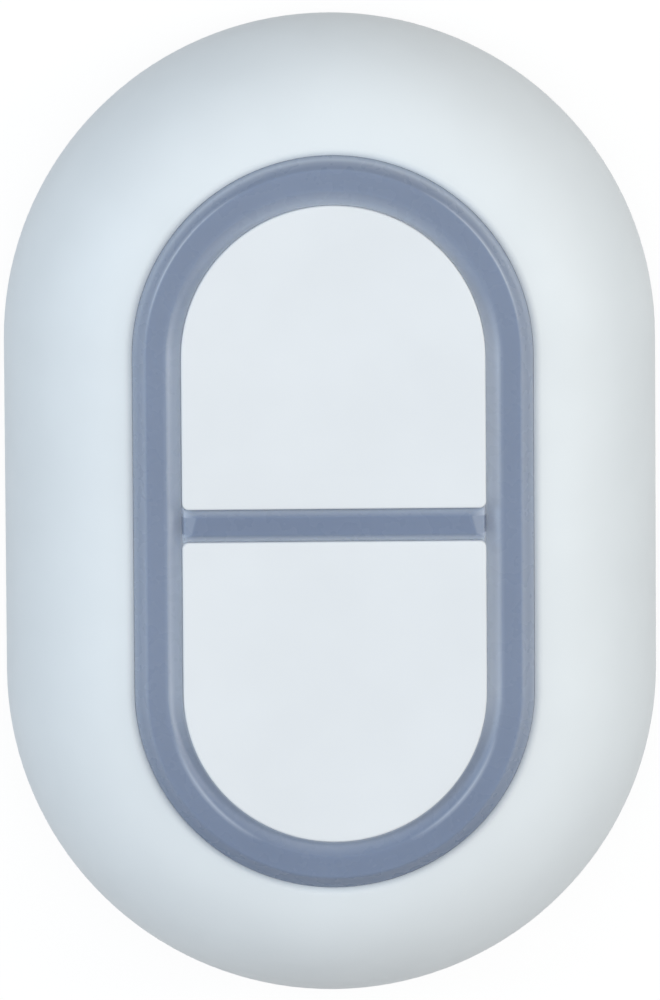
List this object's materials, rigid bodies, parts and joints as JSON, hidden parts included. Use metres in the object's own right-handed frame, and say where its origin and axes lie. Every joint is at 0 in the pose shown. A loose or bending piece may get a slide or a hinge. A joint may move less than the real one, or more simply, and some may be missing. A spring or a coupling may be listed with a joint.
{
  "type": "panic button",
  "caption": "Pocket panic transmitter: domed stadium-shaped shell, a raised translucent ring with a cross bar, and large sprung push buttons that fill the ring on each side of the bar.",
  "frame": {"origin": "centre of the back face, in the plane that the transmitter lies on", "axes": "+Z out of the button side, +Y towards the upper button, +X to the right seen from the front"},
  "size_m": [0.04, 0.0604, 0.0164],
  "materials": {
    "shell_plastic": "satin white moulded plastic with a fine texture",
    "ring_plastic": "translucent blue-grey moulded plastic, satin",
    "button_plastic": "satin white moulded plastic",
    "silicone": "translucent silicone",
    "board_laminate": "solder mask on glass laminate",
    "switch_plastic": "moulded nylon",
    "switch_steel": "stamped steel",
    "tinned_brass": "tin plated",
    "lamp_resin": "clear resin over phosphor",
    "chip_epoxy": "moulded epoxy",
    "ceramic": "sintered ceramic with plated ends",
    "cell_can": "plated can",
    "contact_steel": "nickel plated spring strip",
    "foam": "closed-cell foam",
    "screw_steel": "zinc plated"
  },
  "bodies": {
    "housing": {"front_housing": "shell_plastic", "rear_cover": "shell_plastic", "light_ring": "ring_plastic", "button_membrane": "silicone", "main_board": "board_laminate", "upper_switch_base": "switch_plastic", "lower_switch_base": "switch_plastic", "upper_switch_cover": "switch_steel", "lower_switch_cover": "switch_steel", "switch_leads": "tinned_brass", "status_leds": "lamp_resin", "radio_chip": "chip_epoxy", "crystal": "switch_steel", "board_passives": "ceramic", "antenna": "tinned_brass", "coin_cell": "cell_can", "cell_holder": "switch_plastic", "positive_contact": "contact_steel", "negative_contact": "contact_steel", "cell_pad": "foam", "cover_screws": "screw_steel"},
    "upper_key": {"upper_button": "button_plastic"},
    "lower_key": {"lower_button": "button_plastic"},
    "upper_plunger": {"upper_switch_plunger": "switch_plastic"},
    "lower_plunger": {"lower_switch_plunger": "switch_plastic"}
  },
  "joints": [
    {"name": "upper_button_press", "type": "slide", "parent": "housing", "child": "upper_key", "axis": [0, 0, -1], "range_m": [0, 0.0006], "stiffness_N_per_m": 2500, "deforming": ["button_membrane"]},
    {"name": "lower_button_press", "type": "slide", "parent": "housing", "child": "lower_key", "axis": [0, 0, -1], "range_m": [0, 0.0006], "stiffness_N_per_m": 2500, "deforming": ["button_membrane"]},
    {"name": "upper_plunger_press", "type": "slide", "parent": "housing", "child": "upper_plunger", "axis": [0, 0, -1], "range_m": [0, 0.0006]},
    {"name": "lower_plunger_press", "type": "slide", "parent": "housing", "child": "lower_plunger", "axis": [0, 0, -1], "range_m": [0, 0.0006]}
  ],
  "couplings": [
    {"joint": "upper_plunger_press", "follows": "upper_button_press", "ratio": 1},
    {"joint": "lower_plunger_press", "follows": "lower_button_press", "ratio": 1}
  ]
}
